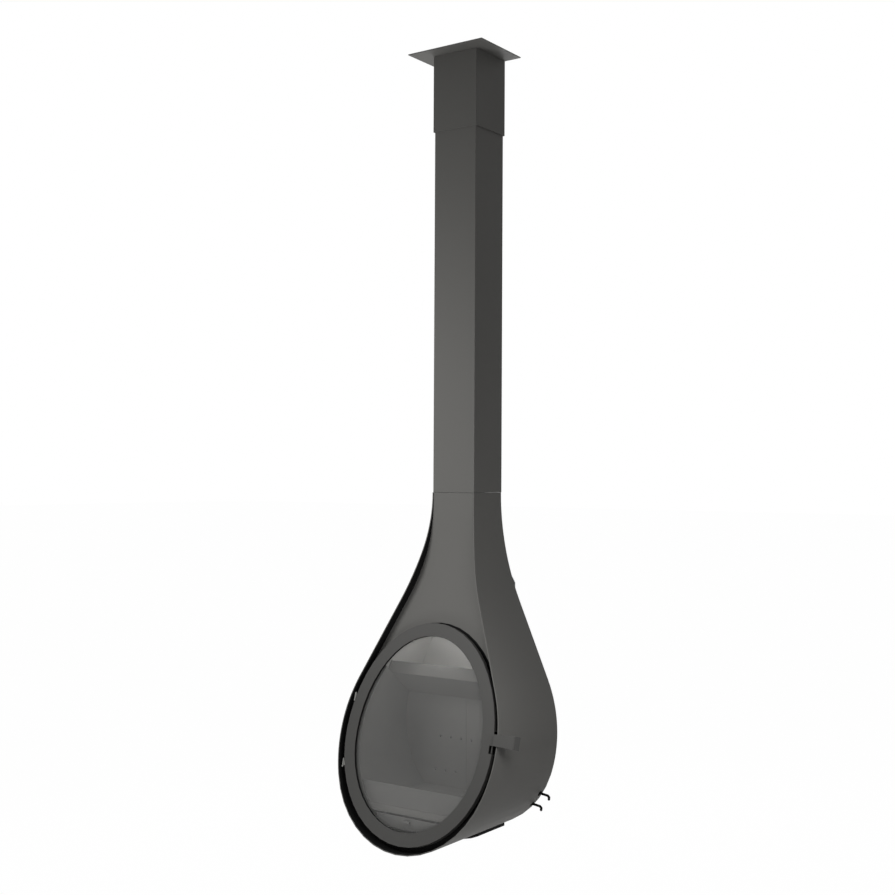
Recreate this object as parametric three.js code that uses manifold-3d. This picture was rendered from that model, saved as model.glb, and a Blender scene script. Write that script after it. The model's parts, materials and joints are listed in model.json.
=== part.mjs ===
// Drop-shaped hanging wood fireplace on a wall, with a square flue casing up to the ceiling.
// Millimetres, +Z up, front towards -Y. Inside this file heights are taken from the neck seam,
// where the casing meets the body, and depths from the flue axis; the outer group then moves
// everything so that the origin lies on the wall, in the middle of the hanger bracket.
import * as THREE from 'three';
import { mergeVertices } from 'three/addons/utils/BufferGeometryUtils.js';
import Module from 'manifold-3d';

const wasm = await Module();
wasm.setup();

// --- driving dimensions ---------------------------------------------------------------------
const seatGap = 0.3;             // between pieces that touch
const farAway = 900;             // reach of a cutting tool past the piece
const cutThrough = 1;            // a cut's reach past the face it opens

// flue and ceiling
const ceilingHeight = 1780;      // ceiling above the neck seam
const casingSide = 200;
const casingWall = 2;
const casingEnd = 25;            // casing ends below the collar's top
const sleeveHeight = 60;         // sleeve inside the casing at the neck
const spacerHeight = 900;        // centring plate around the pipe
const spacerThick = 3;
const collarGap = 3;             // collar past the casing
const collarWall = 2;
const collarHeight = 310;
const ceilingPlateSide = 75;     // plate past the collar, left, right and front
const ceilingPlateBack = 3;      // plate past the collar at the wall
const ceilingPlateThick = 4;
const pipeRadius = 75;
const pipeWall = 2;
const pipeSides = 36;
const platePipeGap = 2;          // ceiling plate around the pipe

// drop outline of the body, half of it, from the neck seam down
const neckStep = 1;              // outline past the casing at the seam
const flareRadius = 1076;
const flareAngle = THREE.MathUtils.degToRad(23.8);
const flankLength = 334;
const bellyRadius = 510;
const bellyAngle = THREE.MathUtils.degToRad(19.2);
const sheet = 4;                 // side wrap
const backDepth = 95;            // rear edge of the body behind the flue axis
const backSheet = 3;
const backPanelTop = 2;          // below the neck seam
const wallGap = 13;              // between the body and the wall

// front rim: vertical at the neck, then leaning forward towards the bottom
const rimStep = 3;               // rim in front of the casing
const rimBend = 860;
const tilt = THREE.MathUtils.degToRad(16.5);

// neck panel
const panelSheet = 3;
const panelStep = 1;             // panel in front of the casing
const panelBend = 900;
const panelRecess = 40;          // straight part behind the rim, square to it
const panelEnd = 245;            // lower ends beside the door, above its centre
const panelSideGap = 1;

// door, in its own leaning plane
const doorUp = 455;              // top of the oval above its widest place
const doorGap = { side: 19.7, below: 28 };   // between its edge and the side wrap
const faceWidth = 51;
const faceRecess = 8;            // face behind the rim
const doorSheet = 3;
const doorReturn = 22;           // depth of the outer return
const glassReturn = 10;          // depth of the inner return
const doorClearance = 8;         // panel edge around the door
const glassThick = 4;
const tapeThick = 1;
const glassLap = 14;
const retainerWidth = 41;
const retainerThick = 3;
const ropeWidth = 12;
const ropeThick = 6;
const ropeInset = 7;             // rope seal from the door's outer edge
const screwHead = { radius: 4.5, height: 2.9 };
const screwShank = { radius: 2.3, hole: 2.5, tip: 4 };
const screwInset = 7;            // screws from the glass edge

// front frame behind the door
const frameDepth = 46;           // its face behind the rim
const frameThick = 4;
const frameLap = 24;             // frame's opening inside the door's outer edge
const frameTop = 344;            // below the neck seam

// firebox
const airSpace = 34;             // between side wrap and firebox
const fireboxWall = 4;
const fireboxTop = 346;          // below the neck seam
const fireboxGap = 11;           // between firebox and the body's rear edge
const liner = 25;
const linerGap = 2;
const backLinerFront = 0;         // face of the back liner behind the flue axis
const drawerRise = 37;           // drawer above the lowest point of the firebox floor
const hearthThick = 27;
const spigotHeight = 52;
const spigotWall = 2.7;
const spigotFlange = 14;
const spigotFlangeThick = 3;
const baffleRise = 261;          // front top edge above the door's centre
const baffleFall = 118;          // from there down to the liner's rear face
const smokeGap = 104;            // baffle's front edge behind the rim
const baffleThick = 48;
const airHoleRadius = 5;
const airHolePitch = 51.3;
const upperHoles = 203;          // above the hearth
const lowerHoles = 65;
const ductDepth = 30;
const ductHalf = 170;
const ductRise = 257;
const ductSheet = 2;
const guardRise = 74;            // above the hearth
const guardThick = 6;
const guardDepth = 53;
const firebedGap = 3;            // between floor, guard and the pieces around them

// grate and ash drawer
const grateHalf = 90;
const grateSetback = 88;         // grate's front edge behind the drawer's
const grateBack = 100;
const grateThick = 16;
const grateLip = 10;
const grateSlots = 7;
const grateSlotWidth = 9;
const grateFrame = 22;           // solid edge before the slots
const drawerHalf = 118;
const drawerGap = 9;             // under the hearth floor
const drawerHeight = 39;
const drawerSetback = 46;        // behind the rim
const drawerBack = 70;
const drawerSheet = 2;
const drawerFaceHalf = 150;
const drawerFaceThick = 3;
const runnerSheet = 2;
const runnerFoot = 10;
const knobRadius = 5;
const knobReach = 12;
const knobBar = 30;
const knobStem = 3;              // radius
const knobDrop = 6;              // below the drawer's upper edge

// hinges and latch, in the door's plane
const hingeInset = 9;            // pin from the door's edge
const hingeHeights = { upper: 132, lower: -129 };
const hingePinRadius = 2;
const hingeBarrel = 4;
const hingeLug = 18;
const hingeEar = 6;
const hingeNotchGap = 4;         // the door's edge from the hinge's ears and pin head
const hingeFoot = 9;             // bracket's foot on the frame, towards the door
const hingeDepth = 12;
const runningGap = 0.1;
const sideGap = 0.6;
const handleMiddle = 41.5;       // above the door's centre
const handleThick = 3;
const handleReach = 75;          // past the side of the body
const handleReturn = 39;         // grip's end turned back
const handleBend = 8;
const tailSlotTop = 74;
const pivotInset = 25;
const pivotRadius = 4;
const pivotShoulder = 5;         // past the stud's radius
const pivotLength = 22.5;
const pivotNut = 8;
const pivotNutThick = 5;

// air controls, underside
const leverGap = 7;              // rod's axis from the firebox's rear wall
const leverRise = { secondary: 168, primary: 121 };   // above the body's lowest point
const leverRadius = 5;
const leverHole = 11;            // in the side wrap
const leverOut = 41;
const leverDown = 23;
const leverIn = 92;              // rod inside the wrap, travel and stop included
const leverStop = { radius: 6.5, length: 4 };
const coverHalf = 145;
const coverFront = 130;
const coverBack = 63;
const coverStand = 13;
const coverSheet = 2.5;
const intakeRadius = 58;

// wall hanger
const hangerDrop = 620;
const hangerHalf = 130;
const hangerHeight = 110;
const hangerSheet = 4;
const railBottom = 387;          // upper stand-off rail, below the neck seam
const railTop = 341;
const railHalf = 164;
const railShoulder = { half: 150, height: 365 };
const wallScrewSpread = 90;
const wallScrewRadius = 4;
const wallScrewHead = 7.5;
const wallScrewHeadThick = 5;
const bodySpacerAcross = 60;
const bodySpacerHalf = 12;
const bodySpacerReach = 50;

// --- materials ------------------------------------------------------------------------------
function paint(color, roughness, metalness) {
  return new THREE.MeshStandardMaterial({ color, roughness, metalness });
}

const greyPaint = paint(0x5c5c5a, 0.55, 0.35);
const blackPaint = paint(0x0c0c0c, 0.7, 0.2);
const paleEnamel = paint(0xa8a69e, 0.5, 0.1);
const bareSteel = paint(0x9a9a96, 0.35, 0.9);
const castIron = paint(0x2b2b2a, 0.75, 0.5);
const refractory = paint(0x6b6b68, 0.9, 0.0);
const ceramicGlass = new THREE.MeshStandardMaterial({
  color: 0xd8d8d2, roughness: 0.05, metalness: 0, transparent: true, opacity: 0.3,
});
const ropeSeal = paint(0x3a3a38, 0.95, 0.0);
const galvanised = paint(0x8d9092, 0.45, 0.8);

// --- solids ---------------------------------------------------------------------------------
function solidOf(geometry) {
  const bare = geometry.clone();
  bare.deleteAttribute('normal');
  bare.deleteAttribute('uv');
  const merged = mergeVertices(bare, 1e-4);
  return new wasm.Manifold(new wasm.Mesh({
    numProp: 3,
    vertProperties: new Float32Array(merged.attributes.position.array),
    triVerts: new Uint32Array(merged.index.array),
  }));
}

function geometryOf(solid) {
  const mesh = solid.getMesh();
  const geometry = new THREE.BufferGeometry();
  geometry.setAttribute('position', new THREE.BufferAttribute(mesh.vertProperties, 3));
  geometry.setIndex(new THREE.BufferAttribute(mesh.triVerts, 1));
  geometry.computeVertexNormals();
  return geometry;
}

function shapeFrom(corners) {
  return new THREE.Shape(corners.map(([a, b]) => new THREE.Vector2(a, b)));
}

// a shape in x and z, pushed along y from front to back
function alongY(shape, front, back, curveSegments = 8) {
  const geometry = new THREE.ExtrudeGeometry(shape, {
    depth: back - front, bevelEnabled: false, curveSegments,
  });
  geometry.rotateX(Math.PI / 2);
  geometry.translate(0, back, 0);
  return solidOf(geometry);
}

// a shape in y and z, pushed along x both ways from the middle
function acrossX(shape, half, curveSegments = 8) {
  const geometry = new THREE.ExtrudeGeometry(shape, {
    depth: 2 * half, bevelEnabled: false, curveSegments,
  });
  geometry.translate(0, 0, -half);
  const turn = new THREE.Matrix4().makeBasis(
    new THREE.Vector3(0, 1, 0), new THREE.Vector3(0, 0, 1), new THREE.Vector3(1, 0, 0));
  geometry.applyMatrix4(turn);
  return solidOf(geometry);
}

function box(left, right, front, back, bottom, top) {
  const geometry = new THREE.BoxGeometry(right - left, back - front, top - bottom);
  geometry.translate((left + right) / 2, (front + back) / 2, (bottom + top) / 2);
  return solidOf(geometry);
}

function upright(radius, bottom, top, x = 0, y = 0, sides = pipeSides) {
  const geometry = new THREE.CylinderGeometry(radius, radius, top - bottom, sides);
  geometry.rotateX(Math.PI / 2);
  geometry.translate(x, y, (bottom + top) / 2);
  return solidOf(geometry);
}

function inDepth(radius, front, back, x, z, sides = 16) {
  const geometry = new THREE.CylinderGeometry(radius, radius, back - front, sides);
  geometry.translate(x, (front + back) / 2, z);
  return solidOf(geometry);
}

function tube(outer, inner, bottom, top) {
  return upright(outer, bottom, top)
    .subtract(upright(inner, bottom - cutThrough, top + cutThrough));
}

function squareTube(side, wall, bottom, top) {
  const half = side / 2;
  const inside = half - wall;
  return box(-half, half, -half, half, bottom, top)
    .subtract(box(-inside, inside, -inside, inside, bottom - cutThrough, top + cutThrough));
}

// --- the drop outline -----------------------------------------------------------------------
const neckHalf = casingSide / 2 + neckStep;
const flankTop = {
  x: neckHalf + flareRadius * (1 - Math.cos(flareAngle)),
  z: -flareRadius * Math.sin(flareAngle),
};
const flankEnd = {
  x: flankTop.x + flankLength * Math.sin(flareAngle),
  z: flankTop.z - flankLength * Math.cos(flareAngle),
};
const belly = {
  x: flankEnd.x - bellyRadius * Math.cos(flareAngle),
  z: flankEnd.z - bellyRadius * Math.sin(flareAngle),
};
const bottomRadius = bellyRadius + belly.x / Math.cos(bellyAngle);
const bottomCentre = belly.z + belly.x * Math.tan(bellyAngle);
const bodyDrop = bottomRadius - bottomCentre;
const bodyHalf = belly.x + bellyRadius;

// --- sizes that follow from others ----------------------------------------------------------
const collarSide = casingSide + 2 * (collarGap + collarWall);
const rimDepth = casingSide / 2 + rimStep;
const panelDepth = casingSide / 2 + panelStep;
const wallDepth = backDepth + wallGap;
const fireboxBack = backDepth - fireboxGap;

// depth of the straight rim line where it would cross the neck seam, and further down
const rimAtSeam = rimDepth - rimBend * Math.tan(tilt / 2) * Math.tan(tilt);
const rimAt = (height) => rimAtSeam + height * Math.tan(tilt);

const doorDrop = -belly.z;
const doorHalf = bodyHalf - sheet - doorGap.side;
const doorDown = (bodyDrop - sheet - doorDrop) / Math.cos(tilt) - doorGap.below;
const drawerBottom = bodyDrop - airSpace - fireboxWall - drawerRise;
const drawerTop = drawerBottom - drawerHeight;
const hearthTop = drawerTop - drawerGap - hearthThick;
const drawerFront = rimAt(drawerTop) - drawerSetback;
const grateFront = drawerFront - grateSetback;
const baffleFrontTop = doorDrop - baffleRise;
const baffleRearTop = baffleFrontTop + baffleFall;
const baffleFront = rimAt(baffleFrontTop) - smokeGap;
const hingeAxis = doorHalf - hingeInset;
const pivotAcross = doorHalf - pivotInset;
const leverDepth = fireboxBack - fireboxWall - leverGap;
const leverHeights = {
  secondary: bodyDrop - leverRise.secondary, primary: bodyDrop - leverRise.primary,
};

// the strap: its tail behind the door's face, its grip in front of the rim
const handleTail = { start: doorHalf - 41, end: doorHalf + 2, half: 17.5, depth: 13.3 };
const handleGrip = {
  start: doorHalf + 8, half: 21, reach: bodyHalf + handleReach, endHalf: 24.5, depth: -7.3,
};
const tailRoom = doorHalf - 11;  // the frame and the retainer are open beyond it
const tongue = { left: doorHalf - 9, right: doorHalf - 3.5, bottom: -7 };
const latchNotch = { left: doorHalf - 16, bottom: -9, top: 20.5 };

// the outline moved inwards by a distance, closed across the neck
function dropShape(inward) {
  const shape = new THREE.Shape();
  const flare = flareRadius + inward;
  const round = bellyRadius - inward;
  const sole = bottomRadius - inward;
  const middle = neckHalf + flareRadius;
  shape.moveTo(neckHalf - inward, 0);
  shape.absarc(middle, 0, flare, Math.PI, Math.PI + flareAngle, false);
  shape.absarc(belly.x, belly.z, round, flareAngle, -bellyAngle, true);
  shape.absarc(0, bottomCentre, sole, -bellyAngle, -Math.PI + bellyAngle, true);
  shape.absarc(-belly.x, belly.z, round, Math.PI + bellyAngle, Math.PI - flareAngle, true);
  shape.absarc(-middle, 0, flare, -flareAngle, 0, false);
  shape.closePath();
  return shape;
}

function drop(inward, front = -farAway, back = farAway, curveSegments = 8) {
  return alongY(dropShape(inward), front, back, curveSegments);
}

// --- the leaning front ----------------------------------------------------------------------
const doorMatrix = new THREE.Matrix4()
  .makeRotationX(-tilt)
  .setPosition(0, -rimAt(doorDrop), -doorDrop);

// side view of a front that stands upright at the neck and then leans parallel to the rim
function frontLine(depth, bend, recess) {
  const lineAtSeam = rimAtSeam - recess / Math.cos(tilt);
  const corner = (depth - lineAtSeam) / Math.tan(tilt);
  const bendTop = corner - bend * Math.tan(tilt / 2);
  return { depth, bend, bendTop };
}

// region in front of such a line, as a shape in y and z
function frontRegion({ depth, bend, bendTop }) {
  const shape = new THREE.Shape();
  shape.moveTo(-depth, farAway);
  shape.lineTo(-depth, -bendTop);
  shape.absarc(-depth - bend, -bendTop, bend, 0, -tilt, true);
  const run = 1600;
  const y = -depth - bend * (1 - Math.cos(tilt)) - run * Math.sin(tilt);
  const z = -bendTop - bend * Math.sin(tilt) - run * Math.cos(tilt);
  shape.lineTo(y, z);
  shape.lineTo(-2 * farAway, z);
  shape.lineTo(-2 * farAway, farAway);
  shape.closePath();
  return shape;
}

const rimLine = frontLine(rimDepth, rimBend, 0);
const inFrontOfRim = acrossX(frontRegion(rimLine), farAway);

// a slab between two depths behind the rim, square to the leaning plane
function slab(near, deep) {
  const geometry = new THREE.BoxGeometry(2 * farAway, deep - near, 4 * farAway);
  geometry.translate(0, (near + deep) / 2, 0);
  geometry.applyMatrix4(doorMatrix);
  return solidOf(geometry);
}

function inFrontOf(depth) {
  return slab(-2 * farAway, depth);
}

// the door's oval, grown or shrunk, in x and in-plane height
function ovalShape(grow, hole = null) {
  const draw = (path, size) => {
    path.absellipse(0, 0, doorHalf + size, doorUp + size, 0, Math.PI, false);
    path.absellipse(0, 0, doorHalf + size, doorDown + size, Math.PI, 2 * Math.PI, false);
    return path;
  };
  const shape = draw(new THREE.Shape(), grow);
  if (hole !== null) shape.holes.push(draw(new THREE.Path(), hole));
  return shape;
}

function oval(grow, near, deep, hole = null, curveSegments = 12) {
  return alongY(ovalShape(grow, hole), near, deep, curveSegments);
}

function leaned(solid) {
  return solidOf(geometryOf(solid).applyMatrix4(doorMatrix));
}

// --- assembly helpers -----------------------------------------------------------------------
const fireplace = new THREE.Group();
fireplace.position.set(0, -wallDepth, hangerDrop);
const door = new THREE.Group();
door.applyMatrix4(doorMatrix);
fireplace.add(door);

function add(name, solid, material, parent = fireplace) {
  const mesh = new THREE.Mesh(geometryOf(solid), material);
  mesh.name = name;
  parent.add(mesh);
}

// --- ceiling and flue -----------------------------------------------------------------------
function ceilingPlate() {
  const half = collarSide / 2;
  const plate = box(-half - ceilingPlateSide, half + ceilingPlateSide, -half - ceilingPlateSide,
    half + ceilingPlateBack, ceilingHeight - ceilingPlateThick, ceilingHeight);
  return plate.subtract(upright(pipeRadius + platePipeGap, 0, ceilingHeight + cutThrough));
}

function addFlue() {
  add('ceiling_plate', ceilingPlate(), greyPaint);
  const collarTop = ceilingHeight - ceilingPlateThick - seatGap;
  add('ceiling_collar', squareTube(collarSide, collarWall, collarTop - collarHeight, collarTop),
    greyPaint);
  const casingTop = collarTop - casingEnd;
  add('flue_casing', squareTube(casingSide, casingWall, seatGap, casingTop), greyPaint);
  const sleeveSide = casingSide - 2 * (casingWall + seatGap);
  add('neck_sleeve', squareTube(sleeveSide, casingWall, seatGap, sleeveHeight), galvanised);
  const pipeBottom = -fireboxTop + fireboxWall + seatGap;
  add('flue_pipe', tube(pipeRadius, pipeRadius - pipeWall, pipeBottom, ceilingHeight), galvanised);
  const half = sleeveSide / 2;
  const centring = box(-half, half, -half, half, spacerHeight, spacerHeight + spacerThick)
    .subtract(upright(pipeRadius + seatGap, 0, ceilingHeight));
  add('flue_spacer', centring, galvanised);
}

// --- casing of the body ---------------------------------------------------------------------
function sideWrap() {
  let wrap = drop(0, -farAway, backDepth).subtract(drop(sheet));
  wrap = wrap.subtract(inFrontOfRim);
  for (const height of Object.values(leverHeights)) {
    wrap = wrap.subtract(leverBore(height, leverHole, -3 * sheet));
  }
  return wrap.subtract(intakeHole());
}

// the hole for combustion air, through the wrap and the firebox's floor
function intakeHole() {
  return upright(intakeRadius, -bodyDrop - sheet, -hearthTop - hearthThick, 0,
    (coverBack - coverFront) / 2);
}

function neckPanel() {
  const face = frontLine(panelDepth, panelBend, panelRecess);
  const rear = frontLine(panelDepth - panelSheet, panelBend + panelSheet, panelRecess + panelSheet);
  const inside = drop(sheet + panelSideGap);
  const band = acrossX(frontRegion(rear), farAway).subtract(acrossX(frontRegion(face), farAway));
  const kept = box(-farAway, farAway, -farAway, 0, -doorDrop + panelEnd, -seatGap);
  const doorRoom = leaned(oval(doorClearance, -farAway, 2 * frameDepth));
  return band.intersect(inside).intersect(kept).subtract(doorRoom);
}

function backPanel() {
  let panel = drop(sheet + seatGap, backDepth - backSheet, backDepth);
  panel = panel.subtract(above(backPanelTop));
  for (const side of [-1, 1]) {
    panel = panel.subtract(inDepth(wallScrewHead + 1, 0, farAway, side * wallScrewSpread,
      -hangerDrop));
  }
  return panel;
}

// --- door -----------------------------------------------------------------------------------
const faceBack = faceRecess + doorSheet;
const tapeDepth = faceRecess + glassReturn + seatGap;
const glassDepth = tapeDepth + tapeThick + seatGap;
const retainerDepth = glassDepth + glassThick + seatGap;
const ropeDepth = retainerDepth + retainerThick + seatGap;
const seatDepth = ropeDepth + ropeThick + seatGap;
const glassEdge = -faceWidth + glassLap;

function doorFrame() {
  const returnEnd = faceRecess + doorReturn;
  const face = oval(0, faceRecess, faceBack, -faceWidth);
  const outer = oval(0, faceBack, returnEnd, -doorSheet);
  const inner = oval(-faceWidth + doorSheet, faceBack, faceRecess + glassReturn, -faceWidth);
  let frame = face.add(outer).add(inner);
  for (const height of Object.values(hingeHeights)) frame = frame.subtract(hingeNotch(height));
  const { left, bottom, top } = latchNotch;
  frame = frame.subtract(box(left, farAway, 0, frameDepth, bottom, top));
  return frame.subtract(box(tailRoom, farAway, faceBack + 0.01, frameDepth, bottom, tailSlotTop));
}

function retainer() {
  let ring = oval(-doorSheet - 1, retainerDepth, retainerDepth + retainerThick,
    -doorSheet - retainerWidth);
  ring = ring.subtract(inDepth(pivotNut + 1, 0, frameDepth, pivotAcross, handleMiddle));
  ring = ring.subtract(box(tailRoom, farAway, 0, frameDepth, latchNotch.bottom, tailSlotTop));
  for (const place of retainerScrews) {
    ring = ring.subtract(inDepth(screwShank.hole, 0, frameDepth, place.x, place.z, 10));
  }
  return ring;
}

const screwLine = glassEdge + screwInset;
const retainerScrews = [30, 75, 150, 210, 270, 330].map((angle) => {
  const turn = THREE.MathUtils.degToRad(angle);
  const reach = Math.sin(turn) > 0 ? doorUp : doorDown;
  return { x: (doorHalf + screwLine) * Math.cos(turn), z: (reach + screwLine) * Math.sin(turn) };
});

function retainerScrew({ x, z }) {
  const seat = retainerDepth + retainerThick + runningGap;
  return inDepth(screwHead.radius, seat, seat + screwHead.height, x, z, 10)
    .add(inDepth(screwShank.radius, retainerDepth - screwShank.tip, seat + 1, x, z, 10));
}

function addDoor() {
  add('door_frame', doorFrame(), greyPaint, door);
  add('glass_tape', oval(glassEdge + 1, tapeDepth, tapeDepth + tapeThick, -faceWidth + 1),
    ropeSeal, door);
  add('door_glass', oval(glassEdge, glassDepth, glassDepth + glassThick), ceramicGlass, door);
  add('glass_retainer', retainer(), blackPaint, door);
  add('door_rope_seal', oval(-ropeInset, ropeDepth, ropeDepth + ropeThick,
    -ropeInset - ropeWidth), ropeSeal, door);
  retainerScrews.forEach((place, index) => {
    add(`retainer_screw_${index + 1}`, retainerScrew(place), bareSteel, door);
  });
}

// --- hinges ---------------------------------------------------------------------------------
// edge of the door oval, left side, at an in-plane height
function doorEdgeAt(height) {
  const reach = height > 0 ? doorUp : doorDown;
  return doorHalf * Math.sqrt(1 - (height / reach) ** 2);
}

function barrel(radius, bottom, top) {
  return upright(radius, bottom, top, -hingeAxis, hingeDepth, 20);
}

function hingeBracket(height) {
  const half = hingeLug / 2 + sideGap;
  const outer = half + hingeEar;
  let bracket = box(-hingeAxis - hingeBarrel, -hingeAxis + hingeFoot, frameDepth - 5,
    frameDepth - seatGap, height - outer, height + outer);
  for (const [low, high] of [[-outer, -half], [half, outer]]) {
    bracket = bracket.add(box(-hingeAxis - hingeBarrel, -hingeAxis + hingeBarrel, hingeDepth,
      frameDepth - 4, height + low, height + high));
    bracket = bracket.add(barrel(hingeBarrel, height + low, height + high));
  }
  return bracket.subtract(barrel(hingePinRadius + runningGap, height - 40, height + 40));
}

// the door frame's edge stands clear of the whole hinge
function hingeNotch(height) {
  const half = hingeLug / 2 + sideGap + hingeEar + hingeNotchGap;
  return box(-farAway, -hingeAxis + hingeBarrel + 1, -1, frameDepth - 8, height - half,
    height + half);
}

function hingeLeaf(height) {
  const half = hingeLug / 2;
  const edge = doorEdgeAt(height + Math.sign(height) * half);
  let leaf = box(-hingeAxis, -edge + 6, hingeDepth, hingeDepth + hingeBarrel, height - half,
    height + half);
  leaf = leaf.add(barrel(hingeBarrel - 0.5, height - half, height + half));
  leaf = leaf.subtract(oval(seatGap, 0, 60));
  return leaf.subtract(barrel(hingePinRadius + runningGap, height - 40, height + 40));
}

function hingePin(height) {
  const end = hingeLug / 2 + sideGap + hingeEar + 1;
  return barrel(hingePinRadius, height - end, height + end)
    .add(barrel(hingePinRadius + 1.5, height + end - 1 + seatGap, height + end + 1.5));
}

function addHinges() {
  for (const [place, height] of Object.entries(hingeHeights)) {
    add(`hinge_bracket_${place}`, hingeBracket(height), bareSteel, door);
    add(`hinge_leaf_${place}`, hingeLeaf(height), bareSteel, door);
    add(`hinge_pin_${place}`, hingePin(height), bareSteel, door);
  }
}

// --- latch ----------------------------------------------------------------------------------
// the strap from above: its tail behind the face, a step forward over the rim, the end turned back
function strapLine() {
  const t = handleThick;
  const { start, end, depth } = handleTail;
  const grip = handleGrip;
  const bend = grip.reach - handleBend;
  const shape = new THREE.Shape();
  shape.moveTo(start, depth + t);
  shape.lineTo(start, depth);
  shape.lineTo(end - t / 2, depth);
  shape.lineTo(grip.start - t / 2, grip.depth);
  shape.lineTo(bend, grip.depth);
  shape.absarc(bend, grip.depth + handleBend, handleBend, -Math.PI / 2, 0, false);
  shape.lineTo(grip.reach, grip.depth + handleReturn);
  shape.lineTo(grip.reach - t, grip.depth + handleReturn);
  shape.absarc(bend, grip.depth + handleBend, handleBend - t, 0, -Math.PI / 2, true);
  shape.lineTo(grip.start + t / 2, grip.depth + t);
  shape.lineTo(end + t / 2, depth + t);
  shape.closePath();
  return shape;
}

// the strap from the front: it widens to its end, and a tongue hangs from the tail
function strapFront() {
  const { start, half } = handleTail;
  const grip = handleGrip;
  return shapeFrom([
    [start, half], [start, -half], [tongue.left, -half],
    [tongue.left, tongue.bottom - handleMiddle], [tongue.right, tongue.bottom - handleMiddle],
    [tongue.right, -half], [handleTail.end, -grip.half], [grip.reach, -grip.endHalf],
    [grip.reach, grip.endHalf], [handleTail.end, grip.half],
  ]);
}

function handleStrap() {
  const tall = 120;
  const geometry = new THREE.ExtrudeGeometry(strapLine(), {
    depth: tall, bevelEnabled: false, curveSegments: 5,
  });
  geometry.translate(0, 0, -tall / 2);
  const front = alongY(strapFront(), -farAway, farAway);
  return solidOf(geometry).intersect(front).translate([0, 0, handleMiddle])
    .subtract(inDepth(pivotRadius + runningGap, 0, frameDepth, pivotAcross, handleMiddle));
}

const hookArm = { left: doorHalf + 2.5, right: doorHalf + 6.5 };
const hookPlate = { left: doorHalf - 11, near: 16.6, deep: 19.6, bottom: 26, top: 46 };
const hookFinger = { near: 28, deep: 32, bottom: -2 };
const lipTop = hookFinger.bottom - 2 * seatGap;

function latchHook() {
  const { left, near, deep, bottom, top } = hookPlate;
  return box(left, hookArm.right, near, deep, bottom, top)
    .add(box(hookArm.left, hookArm.right, near, hookFinger.deep, bottom, top))
    .add(box(hookArm.left, hookArm.right, hookFinger.near, hookFinger.deep, hookFinger.bottom, top));
}

function keeper() {
  const left = hookArm.left - 0.5;
  const right = hookArm.right + 3;
  const base = box(left - 6, right, frameDepth - 3, frameDepth - seatGap, -30, lipTop);
  const stand = box(left, right, 22, frameDepth - 1, -22, -16);
  const lip = box(left, right, 22, 26, -20, lipTop);
  return base.add(stand).add(lip);
}

// a stud on the back of the face, its shoulder under the strap's tail
function pivotBolt() {
  const shoulder = inDepth(pivotRadius + pivotShoulder, faceBack + seatGap,
    handleTail.depth - seatGap, pivotAcross, handleMiddle);
  return shoulder
    .add(inDepth(pivotRadius, faceBack + 1, pivotLength, pivotAcross, handleMiddle));
}

function pivotNutSolid() {
  const near = handleTail.depth + handleThick + seatGap;
  return inDepth(pivotNut, near, near + pivotNutThick, pivotAcross, handleMiddle, 6)
    .subtract(inDepth(pivotRadius + runningGap, 0, frameDepth, pivotAcross, handleMiddle));
}

function addLatch() {
  add('latch_handle', handleStrap(), greyPaint, door);
  add('latch_hook', latchHook(), blackPaint, door);
  add('latch_keeper', keeper(), blackPaint, door);
  add('latch_pivot_bolt', pivotBolt(), bareSteel, door);
  add('latch_pivot_nut', pivotNutSolid(), bareSteel, door);
}

// --- firebox --------------------------------------------------------------------------------
const innerInset = airSpace + fireboxWall;
const behindFrame = frameDepth + frameThick + seatGap;
const above = (drop_) => box(-farAway, farAway, -farAway, farAway, -drop_, farAway);
const below = (drop_) => box(-farAway, farAway, -farAway, farAway, -2 * farAway, -drop_);

function frontFrame() {
  const plate = slab(frameDepth, frameDepth + frameThick)
    .intersect(drop(sheet + seatGap)).subtract(above(frameTop));
  const seat = leaned(oval(-ropeInset, seatDepth, frameDepth + 1, -ropeInset - ropeWidth));
  const opening = leaned(oval(-frameLap, -100, 200));
  return plate.add(seat).subtract(opening);
}

function fireboxShell() {
  let shell = drop(airSpace, -farAway, fireboxBack).subtract(above(fireboxTop));
  let room = drop(innerInset, -farAway, fireboxBack - fireboxWall);
  room = room.subtract(above(fireboxTop + fireboxWall));
  shell = shell.subtract(room).subtract(inFrontOf(behindFrame));
  shell = shell.subtract(upright(pipeRadius - pipeWall, -fireboxTop - 2 * fireboxWall, 0));
  for (const height of Object.values(leverHeights)) {
    shell = shell.subtract(leverBore(height, leverRadius + seatGap, -leverIn));
  }
  return shell.subtract(intakeHole());
}

function spigot() {
  const bottom = -fireboxTop + seatGap;
  const bore = pipeRadius + seatGap;
  return tube(bore + spigotWall, bore, bottom, bottom + spigotHeight)
    .add(tube(pipeRadius + spigotFlange, bore, bottom, bottom + spigotFlangeThick));
}

// the leaning baffle, as a shape in y and z
function baffleShape() {
  const rear = backLinerFront + liner;
  const slope = (baffleRearTop - baffleFrontTop) / (rear + baffleFront);
  const end = fireboxBack - fireboxWall - 1;
  const endTop = baffleRearTop + slope * (end - rear);
  return shapeFrom([
    [-baffleFront, -baffleFrontTop],
    [-baffleFront, -baffleFrontTop - baffleThick],
    [end, -endTop - baffleThick],
    [end, -endTop],
  ]);
}

function baffle() {
  return acrossX(baffleShape(), farAway).intersect(drop(innerInset + linerGap));
}

// everything above the underside of the baffle
function overBaffle() {
  const rear = backLinerFront + liner;
  const slope = (baffleRearTop - baffleFrontTop) / (rear + baffleFront);
  const front = baffleFrontTop + baffleThick + seatGap - slope * farAway;
  const back = baffleRearTop + baffleThick + seatGap + slope * farAway;
  return acrossX(shapeFrom([
    [-baffleFront - farAway, -front], [rear + farAway, -back],
    [rear + farAway, farAway], [-baffleFront - farAway, farAway],
  ]), farAway);
}

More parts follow.
